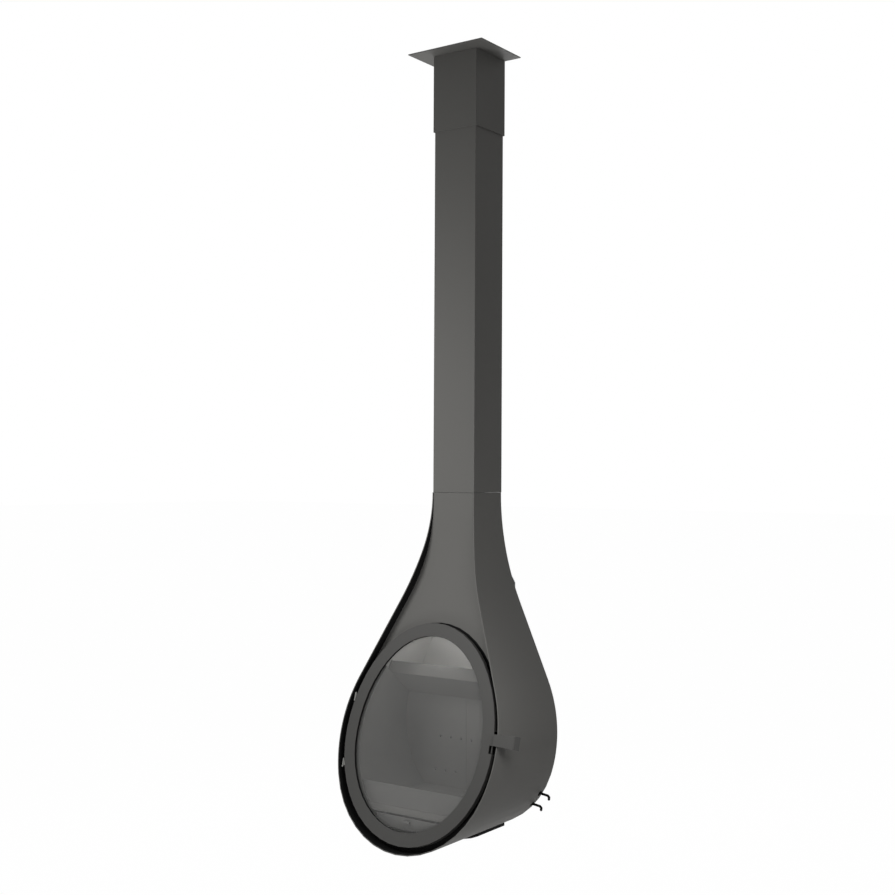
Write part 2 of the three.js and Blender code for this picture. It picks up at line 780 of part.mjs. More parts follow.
function sideLiner(side) {
  const outer = innerInset + linerGap;
  let band = drop(outer, -farAway, backLinerFront + liner).subtract(drop(outer + liner));
  band = band.subtract(below(hearthTop - seatGap)).subtract(overBaffle());
  band = band.subtract(inFrontOf(behindFrame + 1));
  return band.intersect(box(Math.min(0, side * farAway), Math.max(0, side * farAway),
    -farAway, farAway, -2 * farAway, farAway));
}

function backLiner(side) {
  let plate = drop(innerInset + linerGap + liner + 0.5, backLinerFront, backLinerFront + liner);
  plate = plate.subtract(below(hearthTop - seatGap)).subtract(overBaffle());
  plate = plate.intersect(box(Math.min(side * 0.5, side * farAway),
    Math.max(side * 0.5, side * farAway), -farAway, farAway, -2 * farAway, farAway));
  for (const step of [0.5, 1.5, 2.5]) {
    plate = plate.subtract(inDepth(airHoleRadius, 0, 60, side * step * airHolePitch,
      upperHoles - hearthTop, 10));
  }
  for (const step of [1, 2, 3]) {
    plate = plate.subtract(inDepth(airHoleRadius, 0, 60, side * step * airHolePitch,
      lowerHoles - hearthTop, 10));
  }
  return plate;
}

function airDuct() {
  const front = backLinerFront + liner + seatGap;
  const bottom = -hearthTop - hearthThick;
  const top = ductRise - hearthTop;
  const outside = box(-ductHalf, ductHalf, front, front + ductDepth, bottom, top);
  const inside = box(-ductHalf + ductSheet, ductHalf - ductSheet, front - 1,
    front + ductDepth - ductSheet, bottom - 1, top - ductSheet);
  return outside.subtract(inside).intersect(drop(innerInset + linerGap + liner + 1));
}

function hearthFloor() {
  let floor = drop(innerInset + linerGap, -farAway, backLinerFront + liner - seatGap);
  floor = floor.subtract(above(hearthTop)).subtract(below(hearthTop + hearthThick));
  floor = floor.subtract(inFrontOf(behindFrame + firebedGap));
  const edge = grateHalf - grateLip;
  floor = floor.subtract(box(-edge, edge, -grateFront + grateLip, -grateBack - grateLip,
    -farAway * 2, 0));
  return floor.subtract(box(-grateHalf - 1, grateHalf + 1, -grateFront - 1, -grateBack + 1,
    -hearthTop - grateThick, 0));
}

function grate() {
  let plate = box(-grateHalf, grateHalf, -grateFront, -grateBack,
    -hearthTop - grateThick + seatGap, -hearthTop);
  const room = 2 * grateHalf - 2 * grateLip - 10;
  const pitch = room / grateSlots;
  for (let slot = 0; slot < grateSlots; slot += 1) {
    const x = -room / 2 + (slot + 0.5) * pitch;
    plate = plate.subtract(box(x - grateSlotWidth / 2, x + grateSlotWidth / 2,
      -grateFront + grateFrame, -grateBack - grateFrame, -2 * farAway, 0));
  }
  return plate;
}

function logGuard() {
  return slab(guardDepth, guardDepth + guardThick)
    .intersect(drop(innerInset + linerGap + liner + firebedGap))
    .subtract(above(hearthTop - guardRise)).subtract(below(hearthTop - seatGap));
}

function ashDrawer() {
  const outside = box(-drawerHalf, drawerHalf, -drawerFront, -drawerBack, -drawerBottom, -drawerTop);
  const inside = box(-drawerHalf + drawerSheet, drawerHalf - drawerSheet,
    -drawerFront + drawerSheet, -drawerBack - drawerSheet, -drawerBottom + drawerSheet, 0);
  const face = box(-drawerFaceHalf, drawerFaceHalf, -drawerFront - drawerFaceThick,
    -drawerFront + 0.5, -drawerBottom - 1, -hearthTop - hearthThick - 2)
    .intersect(leaned(oval(-frameLap - firebedGap, -farAway, farAway)))
    .intersect(drop(innerInset + seatGap));
  return outside.subtract(inside).add(face);
}

// an angle under the hearth floor; the drawer's edge slides on its foot
function drawerRunner(side) {
  const web = drawerHalf + seatGap;
  const foot = drawerBottom + seatGap;
  const front = -drawerFront + 12;
  const angle = box(web, web + runnerSheet, front, -drawerBack, -foot - runnerSheet,
    -hearthTop - hearthThick - seatGap)
    .add(box(web - runnerFoot, web + runnerSheet, front, -drawerBack, -foot - runnerSheet, -foot));
  return side > 0 ? angle : angle.mirror([1, 0, 0]);
}

function drawerKnob() {
  const face = -drawerFront - drawerFaceThick - seatGap;
  const height = -drawerTop - knobDrop;
  const end = face - knobReach + knobStem;
  const stem = inDepth(knobStem, end, face, 0, height, 10);
  const bar = new THREE.CylinderGeometry(knobRadius, knobRadius, knobBar, 12);
  bar.rotateZ(Math.PI / 2);
  bar.translate(0, end, height);
  return stem.add(solidOf(bar));
}

function addBody() {
  add('side_wrap', sideWrap(), greyPaint);
  add('neck_front_panel', neckPanel(), greyPaint);
  add('back_panel', backPanel(), greyPaint);
  add('front_frame', frontFrame(), blackPaint);
  add('firebox_shell', fireboxShell(), paleEnamel);
  add('flue_spigot', spigot(), castIron);
  add('baffle', baffle(), refractory);
  add('side_liner_left', sideLiner(-1), refractory);
  add('side_liner_right', sideLiner(1), refractory);
  add('back_liner_left', backLiner(-1), refractory);
  add('back_liner_right', backLiner(1), refractory);
  add('secondary_air_duct', airDuct(), galvanised);
  add('hearth_floor', hearthFloor(), refractory);
  add('grate', grate(), castIron);
  add('log_guard', logGuard(), castIron);
  add('ash_drawer', ashDrawer(), castIron);
  add('ash_drawer_knob', drawerKnob(), castIron);
  add('drawer_runner_left', drawerRunner(-1), galvanised);
  add('drawer_runner_right', drawerRunner(1), galvanised);
}

// --- air levers -----------------------------------------------------------------------------
function sideAt(height) {
  return Math.sqrt(bottomRadius ** 2 - (-height - bottomCentre) ** 2);
}

const rodSides = 12;

// a level bore at a lever, from inside the wrap outwards
function leverBore(height, radius, from) {
  return alongX(radius, sideAt(height) + from, sideAt(height) + farAway, -height, 24);
}

function alongX(radius, left, right, z, sides = rodSides) {
  const geometry = new THREE.CylinderGeometry(radius, radius, right - left, sides);
  geometry.rotateZ(Math.PI / 2);
  geometry.translate((left + right) / 2, leverDepth, z);
  return solidOf(geometry);
}

// a round rod through the given points in x and z, with round knees
function bentRod(points) {
  let rod = null;
  points.slice(1).forEach(([x, z], index) => {
    const [fromX, fromZ] = points[index];
    const run = Math.hypot(x - fromX, z - fromZ);
    const piece = new THREE.CylinderGeometry(leverRadius, leverRadius, run, rodSides);
    const knee = new THREE.SphereGeometry(leverRadius * 1.01, rodSides, 6);
    piece.rotateZ(Math.PI / 2);
    piece.rotateY(Math.atan2(fromZ - z, x - fromX));
    piece.translate((x + fromX) / 2, leverDepth, (z + fromZ) / 2);
    knee.translate(x, leverDepth, z);
    const step = solidOf(piece).add(solidOf(knee));
    rod = rod === null ? step : rod.add(step);
  });
  return rod;
}

function airLever(height) {
  const x = sideAt(height);
  const rod = bentRod([
    [x - leverIn, -height], [x + 5, -height], [x + leverOut - 6, -height - 4],
    [x + leverOut, -height - 10], [x + leverOut - 1, -height - leverDown + leverRadius],
  ]);
  return rod.add(alongX(leverStop.radius, x - leverIn, x - leverIn + leverStop.length, -height));
}

function addLevers() {
  for (const [name, height] of Object.entries(leverHeights)) {
    add(`${name}_air_lever`, airLever(height), blackPaint);
  }
}

// --- underside cover ------------------------------------------------------------------------
function airCover() {
  const outside = drop(-coverStand, -coverFront, coverBack)
    .intersect(box(-coverHalf, coverHalf, -farAway, farAway, -2 * farAway, -bodyDrop + 60))
    .subtract(drop(-seatGap));
  const inside = drop(-coverStand + coverSheet, -coverFront + coverSheet, farAway)
    .intersect(box(-coverHalf + coverSheet, coverHalf - coverSheet, -farAway, farAway,
      -2 * farAway, -bodyDrop + 60));
  return outside.subtract(inside);
}

// --- wall hanger ----------------------------------------------------------------------------
function wallHanger() {
  const low = -hangerDrop - hangerHeight / 2;
  const high = -hangerDrop + hangerHeight / 2;
  const front = backDepth + seatGap;
  let hanger = box(-hangerHalf, hangerHalf, wallDepth - hangerSheet, wallDepth, low, high);
  hanger = hanger.add(box(-hangerHalf, hangerHalf, front, wallDepth, high - hangerSheet, high));
  hanger = hanger.add(box(-hangerHalf, hangerHalf, front, wallDepth, low, low + hangerSheet));
  for (const side of [-1, 1]) {
    hanger = hanger.subtract(inDepth(wallScrewRadius + seatGap, 0, farAway,
      side * wallScrewSpread, -hangerDrop, 12));
  }
  return hanger;
}

// a channel that keeps the neck of the body off the wall
function wallRail() {
  const profile = shapeFrom([
    [-railHalf, -railBottom], [railHalf, -railBottom], [railHalf, -railShoulder.height],
    [railShoulder.half, -railTop], [-railShoulder.half, -railTop],
    [-railHalf, -railShoulder.height],
  ]);
  const front = backDepth + seatGap;
  return alongY(profile, front, wallDepth)
    .subtract(box(-farAway, farAway, 0, wallDepth - hangerSheet, -railBottom + hangerSheet,
      -railTop - hangerSheet));
}

function wallScrew(side) {
  const face = wallDepth - hangerSheet - 0.1;
  const x = side * wallScrewSpread;
  return inDepth(wallScrewHead, face - wallScrewHeadThick, face, x, -hangerDrop, 12)
    .add(inDepth(wallScrewRadius, face - 1, wallDepth - seatGap, x, -hangerDrop, 12));
}

function bodySpacer(side) {
  const middle = side * bodySpacerAcross;
  return box(middle - bodySpacerHalf, middle + bodySpacerHalf, fireboxBack + seatGap,
    backDepth - backSheet - seatGap, -hangerDrop - bodySpacerReach,
    -hangerDrop + bodySpacerReach);
}

function addHanger() {
  add('air_intake_cover', airCover(), blackPaint);
  add('wall_hanger', wallHanger(), galvanised);
  add('wall_rail', wallRail(), galvanised);
  for (const [side, name] of [[-1, 'left'], [1, 'right']]) {
    add(`wall_screw_${name}`, wallScrew(side), bareSteel);
    add(`body_spacer_${name}`, bodySpacer(side), galvanised);
  }
}

addFlue();
addBody();
addDoor();
addHinges();
addLatch();
addLevers();
addHanger();

export default fireplace;
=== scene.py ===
import json
from math import cos, pi, radians, sin

import bmesh
import bpy
from mathutils import Matrix, Vector


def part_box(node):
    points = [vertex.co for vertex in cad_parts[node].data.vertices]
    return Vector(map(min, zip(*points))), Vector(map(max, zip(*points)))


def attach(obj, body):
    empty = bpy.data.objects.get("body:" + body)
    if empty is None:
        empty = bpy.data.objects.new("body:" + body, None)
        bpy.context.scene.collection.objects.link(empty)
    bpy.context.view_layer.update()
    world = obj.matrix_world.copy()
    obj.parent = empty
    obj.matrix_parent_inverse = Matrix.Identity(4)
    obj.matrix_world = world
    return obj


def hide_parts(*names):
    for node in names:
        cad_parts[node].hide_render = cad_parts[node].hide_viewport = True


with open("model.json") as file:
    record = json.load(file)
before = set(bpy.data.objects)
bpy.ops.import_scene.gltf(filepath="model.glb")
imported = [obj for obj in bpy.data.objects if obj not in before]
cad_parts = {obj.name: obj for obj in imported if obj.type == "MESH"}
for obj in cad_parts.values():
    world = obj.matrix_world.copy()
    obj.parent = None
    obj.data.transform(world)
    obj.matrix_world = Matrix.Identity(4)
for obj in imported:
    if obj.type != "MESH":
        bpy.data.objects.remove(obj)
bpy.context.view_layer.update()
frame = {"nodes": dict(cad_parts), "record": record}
scene = bpy.context.scene
nodes = frame["nodes"]
bodyOfNode = {node: body for body, members in frame["record"]["behaviour"]["bodies"].items()
              for node in members}
slotOfNode = {part["node"]: part["material_slot"] for part in frame["record"]["subparts"]}
print("frame loaded:", len(nodes), "nodes")

# camera, lamps and floor
view = {
    "place": (2.9479, -4.4123, 0.6966),
    "turn": 35.311,        # degrees to the left
    "pitch": 1.1625,       # degrees up
    "roll": 0.290,
    "lens": 51.497,        # millimetres
    "sensor": 36,
}


def placed(name, data):
    piece = bpy.data.objects.new(name, data)
    scene.collection.objects.link(piece)
    return piece


def placeCamera():
    camera = placed("camera", bpy.data.cameras.new("camera"))
    camera.data.lens = view["lens"]
    camera.data.sensor_width = view["sensor"]
    camera.matrix_world = (Matrix.Translation(view["place"])
                           @ Matrix.Rotation(radians(view["turn"]), 4, "Z")
                           @ Matrix.Rotation(radians(90 + view["pitch"]), 4, "X")
                           @ Matrix.Rotation(radians(view["roll"]), 4, "Z"))
    scene.camera = camera


# square lamps: metres and watts
lamps = {
    "front": {"place": (-0.75, -1.8, 1.05), "aim": (0, -0.2, 0.7), "size": 0.8,
              "power": 21},
    "frontNear": {"place": (0.12, -1.0, 0.42), "aim": (0.05, -0.2, 0.35), "size": 0.35,
                  "power": 0.9},
    "low": {"place": (-0.15, -1.55, -1.0), "aim": (0.02, -0.3, 0.1), "size": 0.5,
            "power": 4},
    "right": {"place": (3.4, -1.2, 1.0), "aim": (0.2, -0.2, 0.6), "size": 1.0,
              "power": 17},
    "sideNear": {"place": (0.76, -0.74, 0.08), "aim": (0.37, -0.42, -0.2), "size": 0.25,
                 "power": 1.7},
    # inside the smoke hood, only to bring its brightness up to the picture's
    "hood": {"place": (0.0, -0.305, 0.015), "aim": (-0.02, -0.06, 0.0), "size": 0.05,
             "power": 0.19},
    "left": {"place": (-3.2, 0.6, 0.9), "aim": (0, 0, 0.2), "size": 1.6, "power": 45},
    "back": {"place": (-0.9, 3.4, 1.3), "aim": (0, 0, 0.2), "size": 1.8, "power": 60},
}


def hangLamps():
    for name, lamp in lamps.items():
        light = bpy.data.lights.new(name, "AREA")
        light.shape = "SQUARE"
        light.size = lamp["size"]
        light.energy = lamp["power"]
        piece = placed(name, light)
        piece.visible_camera = False
        piece.location = lamp["place"]
        aim = Vector(lamp["aim"]) - Vector(lamp["place"])
        piece.rotation_euler = aim.to_track_quat("-Z", "Y").to_euler()


studio = {"ambient": 0.03, "white": (1, 1, 1, 1), "floorHeight": -1.25, "floorHalf": 60,
          "floorColor": (0.8, 0.8, 0.79, 1), "floorGlow": 0.992}


def seenDirectly(tree):
    # 1 where the camera, a gloss or a clear piece looks at the background
    path = tree.nodes.new("ShaderNodeLightPath")
    first = tree.nodes.new("ShaderNodeMath")
    first.operation = "MAXIMUM"
    second = tree.nodes.new("ShaderNodeMath")
    second.operation = "MAXIMUM"
    tree.links.new(path.outputs["Is Camera Ray"], first.inputs[0])
    tree.links.new(path.outputs["Is Glossy Ray"], first.inputs[1])
    tree.links.new(first.outputs[0], second.inputs[0])
    tree.links.new(path.outputs["Is Transmission Ray"], second.inputs[1])
    return second.outputs[0]


def buildStudio():
    world = bpy.data.worlds.new("studio")
    world.use_nodes = True
    scene.world = world
    tree = world.node_tree
    tree.nodes.clear()
    ambient = tree.nodes.new("ShaderNodeBackground")
    ambient.inputs["Strength"].default_value = studio["ambient"]
    white = tree.nodes.new("ShaderNodeBackground")
    mix = tree.nodes.new("ShaderNodeMixShader")
    out = tree.nodes.new("ShaderNodeOutputWorld")
    tree.links.new(seenDirectly(tree), mix.inputs["Fac"])
    tree.links.new(ambient.outputs[0], mix.inputs[1])
    tree.links.new(white.outputs[0], mix.inputs[2])
    tree.links.new(mix.outputs[0], out.inputs["Surface"])
    for background in (ambient, white):
        background.inputs["Color"].default_value = studio["white"]


def layFloor():
    # white where it is looked at, apart from the little that keeps the shadow
    bm = bmesh.new()
    bmesh.ops.create_grid(bm, x_segments=1, y_segments=1, size=studio["floorHalf"])
    bmesh.ops.translate(bm, verts=bm.verts, vec=(0, 0, studio["floorHeight"]))
    mesh = bpy.data.meshes.new("floor")
    bm.to_mesh(mesh)
    bm.free()
    placed("floor", mesh)
    material = bpy.data.materials.new("paleFloor")
    material.use_nodes = True
    tree = material.node_tree
    tree.nodes.clear()
    diffuse = tree.nodes.new("ShaderNodeBsdfDiffuse")
    diffuse.inputs["Color"].default_value = studio["floorColor"]
    glow = tree.nodes.new("ShaderNodeEmission")
    mix = tree.nodes.new("ShaderNodeMixShader")
    out = tree.nodes.new("ShaderNodeOutputMaterial")
    share = tree.nodes.new("ShaderNodeMath")
    share.operation = "MULTIPLY"
    share.inputs[1].default_value = studio["floorGlow"]
    tree.links.new(seenDirectly(tree), share.inputs[0])
    tree.links.new(share.outputs[0], mix.inputs["Fac"])
    tree.links.new(diffuse.outputs[0], mix.inputs[1])
    tree.links.new(glow.outputs[0], mix.inputs[2])
    tree.links.new(mix.outputs[0], out.inputs["Surface"])
    mesh.materials.append(material)


scene.view_settings.view_transform = "Standard"
placeCamera()
hangLamps()
buildStudio()
layFloor()
print("camera, lamps and floor are set")


# finishes: a slow drift of tone, a fine speckle, a roughness that follows, and a grain in relief
finishes = {
    "grey_paint": {"color": (0.128, 0.126, 0.119), "drift": 0.05, "driftScale": 4,
                   "speckle": 0.10, "grain": 1500, "bump": 0.10, "depth": 0.0002,
                   "roughness": 0.62, "spread": 0.05, "metallic": 0.0, "specular": 0.22},
    "door_paint": {"color": (0.070, 0.069, 0.066), "drift": 0.05, "driftScale": 5,
                   "speckle": 0.10, "grain": 1500, "bump": 0.10, "depth": 0.0002,
                   "roughness": 0.6, "spread": 0.05, "metallic": 0.0, "specular": 0.22},
    "black_paint": {"color": (0.0045, 0.0045, 0.0045), "drift": 0.2, "driftScale": 9,
                    "speckle": 0.2, "grain": 1300, "bump": 0.12, "depth": 0.0002,
                    "roughness": 0.8, "spread": 0.05, "metallic": 0.0, "specular": 0.12},
    "pale_enamel": {"color": (0.80, 0.79, 0.76), "drift": 0.08, "driftScale": 7,
                    "speckle": 0.05, "grain": 900, "bump": 0.10, "depth": 0.0003,
                    "roughness": 0.6, "spread": 0.06, "metallic": 0.0, "specular": 0.3},
    "cast_iron": {"color": (0.13, 0.128, 0.122), "drift": 0.18, "driftScale": 22,
                  "speckle": 0.25, "grain": 620, "bump": 0.5, "depth": 0.0005,
                  "roughness": 0.72, "spread": 0.08, "metallic": 0.0, "specular": 0.3},
    "rope_seal": {"color": (0.035, 0.034, 0.032), "drift": 0.3, "driftScale": 60,
                  "speckle": 0.5, "grain": 1800, "bump": 0.6, "depth": 0.0003,
                  "roughness": 0.95, "spread": 0.03, "metallic": 0.0, "specular": 0.1},
}


def textured(name, values):
    # a material with its shader, its coordinates and its fixed values
    material = bpy.data.materials.new(name)
    material.use_nodes = True
    tree = material.node_tree
    shader = tree.nodes["Principled BSDF"]
    shader.inputs["Metallic"].default_value = values["metallic"]
    shader.inputs["Specular IOR Level"].default_value = values["specular"]
    return material, tree, shader, tree.nodes.new("ShaderNodeTexCoord").outputs["Object"]


def noise(tree, where, scale, detail=4.0):
    texture = tree.nodes.new("ShaderNodeTexNoise")
    texture.inputs["Scale"].default_value = scale
    texture.inputs["Detail"].default_value = detail
    tree.links.new(where, texture.inputs["Vector"])
    return texture.outputs["Fac"]


def stretched(tree, where, scale):
    mapping = tree.nodes.new("ShaderNodeMapping")
    mapping.inputs["Scale"].default_value = scale
    tree.links.new(where, mapping.inputs["Vector"])
    return mapping.outputs["Vector"]


def blendOf(tree, factor, low, high):
    # from one colour to another, by a pattern
    mix = tree.nodes.new("ShaderNodeMix")
    mix.data_type = "RGBA"
    tree.links.new(factor, mix.inputs["Factor"])
    mix.inputs["A"].default_value = (*low, 1)
    mix.inputs["B"].default_value = (*high, 1)
    return mix.outputs["Result"]


def overlay(tree, tone, pattern):
    # a pattern in greys laid over a tone
    mix = tree.nodes.new("ShaderNodeMix")
    mix.data_type = "RGBA"
    mix.blend_type = "OVERLAY"
    mix.inputs["Factor"].default_value = 1
    tree.links.new(tone, mix.inputs["A"])
    tree.links.new(pattern, mix.inputs["B"])
    return mix.outputs["Result"]


middleGrey = (0.5, 0.5, 0.5)          # leaves a tone as it is when laid over it


def shades(color, spread):
    return [c * (1 - spread) for c in color], [min(1, c * (1 + spread)) for c in color]


def roughen(tree, shader, factor, values):
    rough = tree.nodes.new("ShaderNodeMapRange")
    rough.inputs["To Min"].default_value = values["roughness"] - values["spread"]
    rough.inputs["To Max"].default_value = values["roughness"] + values["spread"]
    tree.links.new(factor, rough.inputs["Value"])
    tree.links.new(rough.outputs["Result"], shader.inputs["Roughness"])


def raiseGrain(tree, shader, height, strength, depth):
    bump = tree.nodes.new("ShaderNodeBump")
    bump.inputs["Strength"].default_value = strength
    bump.inputs["Distance"].default_value = depth
    tree.links.new(height, bump.inputs["Height"])
    tree.links.new(bump.outputs["Normal"], shader.inputs["Normal"])


def coatMaterial(name, values):
    material, tree, shader, where = textured(name, values)
    drift = noise(tree, where, values["driftScale"])
    grain = noise(tree, where, values["grain"], 2)
    tone = blendOf(tree, drift, *shades(values["color"], values["drift"]))
    speckle = blendOf(tree, grain, *shades(middleGrey, values["speckle"]))
    tree.links.new(overlay(tree, tone, speckle), shader.inputs["Base Color"])
    roughen(tree, shader, drift, values)
    raiseGrain(tree, shader, grain, values["bump"], values["depth"])
    return material


# pressed mineral board: flakes of several tones, some standing out
board = {"color": (0.18, 0.177, 0.167), "flake": 0.14, "flakeScale": 260, "cloud": 0.14,
         "cloudScale": 12, "bump": 0.35, "depth": 0.0006, "roughness": 0.93,
         "spread": 0.04, "metallic": 0.0, "specular": 0.12}


def boardMaterial():
    material, tree, shader, where = textured("refractory", board)
    flakes = tree.nodes.new("ShaderNodeTexVoronoi")
    flakes.inputs["Scale"].default_value = board["flakeScale"]
    tree.links.new(where, flakes.inputs["Vector"])
    grey = tree.nodes.new("ShaderNodeSeparateColor")
    tree.links.new(flakes.outputs["Color"], grey.inputs[0])
    tone = blendOf(tree, grey.outputs[0], *shades(board["color"], board["flake"]))
    cloud = blendOf(tree, noise(tree, where, board["cloudScale"]),
                    *shades(middleGrey, board["cloud"]))
    tree.links.new(overlay(tree, tone, cloud), shader.inputs["Base Color"])
    roughen(tree, shader, grey.outputs[0], board)
    raiseGrain(tree, shader, flakes.outputs["Distance"], board["bump"], board["depth"])
    return material


# zinc with its spangle
zinc = {"color": (0.34, 0.35, 0.36), "spangle": 0.16, "spangleScale": 90, "grain": 400,
        "bump": 0.06, "depth": 0.0002, "roughness": 0.45, "spread": 0.12,
        "metallic": 0.85, "specular": 0.5}


def zincMaterial():
    material, tree, shader, where = textured("galvanised", zinc)
    cells = tree.nodes.new("ShaderNodeTexVoronoi")
    cells.inputs["Scale"].default_value = zinc["spangleScale"]
    tree.links.new(where, cells.inputs["Vector"])
    grey = tree.nodes.new("ShaderNodeSeparateColor")
    tree.links.new(cells.outputs["Color"], grey.inputs[0])
    tone = blendOf(tree, grey.outputs[0], *shades(zinc["color"], zinc["spangle"]))
    tree.links.new(tone, shader.inputs["Base Color"])
    roughen(tree, shader, grey.outputs[1], zinc)
    raiseGrain(tree, shader, noise(tree, where, zinc["grain"]), zinc["bump"],
               zinc["depth"])
    return material


# turned and ground steel, dull, with fine lines along the piece
steel = {"color": (0.20, 0.20, 0.19), "line": 0.14, "stretch": (900, 900, 60),
         "lineDetail": 3, "patches": 50, "bump": 0.08, "depth": 0.0001,
         "roughness": 0.42, "spread": 0.12, "metallic": 0.9, "specular": 0.5}


def steelMaterial():
    material, tree, shader, where = textured("bare_steel", steel)
    lines = noise(tree, stretched(tree, where, steel["stretch"]), 1, steel["lineDetail"])
    tree.links.new(blendOf(tree, lines, *shades(steel["color"], steel["line"])),
                   shader.inputs["Base Color"])
    roughen(tree, shader, noise(tree, where, steel["patches"]), steel)
    raiseGrain(tree, shader, lines, steel["bump"], steel["depth"])
    return material


# heat-proof glass with a faint even haze; wipe marks vary its tone and gloss a little
glass = {"color": (0.42, 0.42, 0.41), "wipe": 0.06, "stretch": (7, 7, 30), "alpha": 0.13,
         "roughness": 0.12, "spread": 0.04, "metallic": 0.0, "specular": 0.35}


def glassMaterial():
    material, tree, shader, where = textured("ceramic_glass", glass)
    shader.inputs["Alpha"].default_value = glass["alpha"]
    wipes = noise(tree, stretched(tree, where, glass["stretch"]), 1)
    tree.links.new(blendOf(tree, wipes, *shades(glass["color"], glass["wipe"])),
                   shader.inputs["Base Color"])
    roughen(tree, shader, wipes, glass)
    material.surface_render_method = "BLENDED"
    return material


materials = {name: coatMaterial(name, values) for name, values in finishes.items()}
materials["refractory"] = boardMaterial()
materials["galvanised"] = zincMaterial()
materials["bare_steel"] = steelMaterial()
materials["ceramic_glass"] = glassMaterial()


ownFinish = {"door_frame": "door_paint", "latch_handle": "door_paint"}   # a deeper grey


def coat(piece, slot):
    piece.data.materials.clear()
    piece.data.materials.append(materials[slot])


for name, piece in nodes.items():
    coat(piece, slotOfNode[name])
print("finishes are on")


def settle(piece, node):
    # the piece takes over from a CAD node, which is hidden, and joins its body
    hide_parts(node)
    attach(piece, bodyOfNode[node])


# the door's leaning oval, in metres
door = {
    "tilt": 16.5,                          # degrees
    "middle": (0, -0.454169, -0.325619),   # on the plane of the rim
    "half": 0.346958, "up": 0.455, "down": 0.396454,
}
doorPlace = (Matrix.Translation(door["middle"])
             @ Matrix.Rotation(radians(-door["tilt"]), 4, "X"))
toDoor = doorPlace.inverted()


# sheet, plate and cast pieces: rounded edges, in millimetres, and steps round each edge
softEdges = {
    "side_wrap": (0.8, 2), "neck_front_panel": (0.8, 2), "back_panel": (0.8, 2),
    "front_frame": (0.8, 2), "door_frame": (0.8, 2), "latch_handle": (0.7, 3),
    "flue_casing": (0.9, 3), "ceiling_collar": (0.8, 3), "ceiling_plate": (1.0, 3),
    "firebox_shell": (0.8, 1), "baffle": (2.0, 2), "hearth_floor": (2.0, 2),
    "side_liner_left": (2.0, 2), "side_liner_right": (2.0, 2),
    "back_liner_left": (1.2, 2), "back_liner_right": (1.2, 2),
    "grate": (1.5, 3), "log_guard": (2.0, 3), "ash_drawer": (0.6, 2),
    "ash_drawer_knob": (0.8, 3), "secondary_air_duct": (0.6, 1), "flue_spigot": (0.8, 2),
    "flue_pipe": (0.5, 1), "flue_spacer": (0.5, 1), "neck_sleeve": (0.5, 1),
    "drawer_runner_left": (0.4, 2), "drawer_runner_right": (0.4, 2),
    "glass_retainer": (0.5, 2), "door_glass": (0.6, 2),
    "latch_hook": (0.4, 2), "latch_keeper": (0.4, 2), "latch_pivot_bolt": (0.4, 2),
    "latch_pivot_nut": (0.5, 2),
    "hinge_bracket_upper": (0.4, 2), "hinge_bracket_lower": (0.4, 2),
    "hinge_leaf_upper": (0.3, 2), "hinge_leaf_lower": (0.3, 2),
    "hinge_pin_upper": (0.4, 2), "hinge_pin_lower": (0.4, 2),
    "secondary_air_lever": (0.6, 2), "primary_air_lever": (0.6, 2),
    "air_intake_cover": (0.6, 2), "wall_hanger": (0.6, 2), "wall_rail": (0.6, 2),
    "body_spacer_left": (0.8, 2), "body_spacer_right": (0.8, 2),
}
edges = {"join": 2e-6, "flat": 0.3, "sharpFrom": 32, "smoothTo": 50}   # metres, degrees


def joined(node, name):
    # a copy of a CAD node with its loose triangles joined and its flat faces in one piece
    mesh = nodes[node].data.copy()
    mesh.name = name
    bm = bmesh.new()
    bm.from_mesh(mesh)
    bmesh.ops.remove_doubles(bm, verts=bm.verts, dist=edges["join"])
    bmesh.ops.dissolve_limit(bm, angle_limit=radians(edges["flat"]), verts=bm.verts,
                             edges=bm.edges)
    bm.to_mesh(mesh)
    bm.free()
    return placed(name, mesh)


def softenEdges(piece, width, steps):
    bm = bmesh.new()
    bm.from_mesh(piece.data)
    least = radians(edges["sharpFrom"])
    sharp = [edge for edge in bm.edges
             if len(edge.link_faces) == 2 and edge.calc_face_angle(0) > least]
    bmesh.ops.bevel(bm, geom=sharp, offset=width, offset_type="OFFSET", segments=steps,
                    profile=0.5, affect="EDGES", clamp_overlap=True, material=-1)
    for face in bm.faces:
        face.smooth = True
    bm.to_mesh(piece.data)
    bm.free()
    piece.data.set_sharp_from_angle(angle=radians(edges["smoothTo"]))
    piece.modifiers.new("normals", "WEIGHTED_NORMAL").keep_sharp = True


# black paint on the chosen faces, used as painted shade
def paintShadeBlack(piece, chosen):
    piece.data.materials.append(materials["black_paint"])
    for face in piece.data.polygons:
        if chosen(face.center, face.normal):
            face.material_index = 1


# what makes a face of the wrap an inner one, and one of the door frame a return; both get black
# paint as painted shade
wrapShadeLimits = {"inward": 0.12, "upright": 0.3, "upward": 0.3}
window = {"within": 0.82, "inward": 0.02}


def insideOfWrap(place, normal):
    # the inner side of the wrap, not its outside and edges: painted black as painted shade for
    # the shaded recess behind the rim
    outward = normal.x * (1 if place.x > 0 else -1)
    bottom = (abs(normal.x) < wrapShadeLimits["upright"] and place.z < 0
              and normal.z > wrapShadeLimits["upward"])
    return outward < -wrapShadeLimits["inward"] or bottom


def windowReturn(place, normal):
    # the door frame's return round the glass, which faces the middle of the oval: painted black
    # as painted shade for the shadow line along the glass
    local = toDoor @ place
    turned = toDoor.to_3x3() @ normal
    span = door["up"] if local.z > 0 else door["down"]
    reach = (local.x / door["half"]) ** 2 + (local.z / span) ** 2
    outward = turned.x * local.x + turned.z * local.z
    return reach < window["within"] and outward < -window["inward"] * local.length


soft = {}
for node, (width, steps) in softEdges.items():
    soft[node] = joined(node, node + "_soft")
    softenEdges(soft[node], width / 1000, steps)
    coat(soft[node], ownFinish.get(node, slotOfNode[node]))
    settle(soft[node], node)
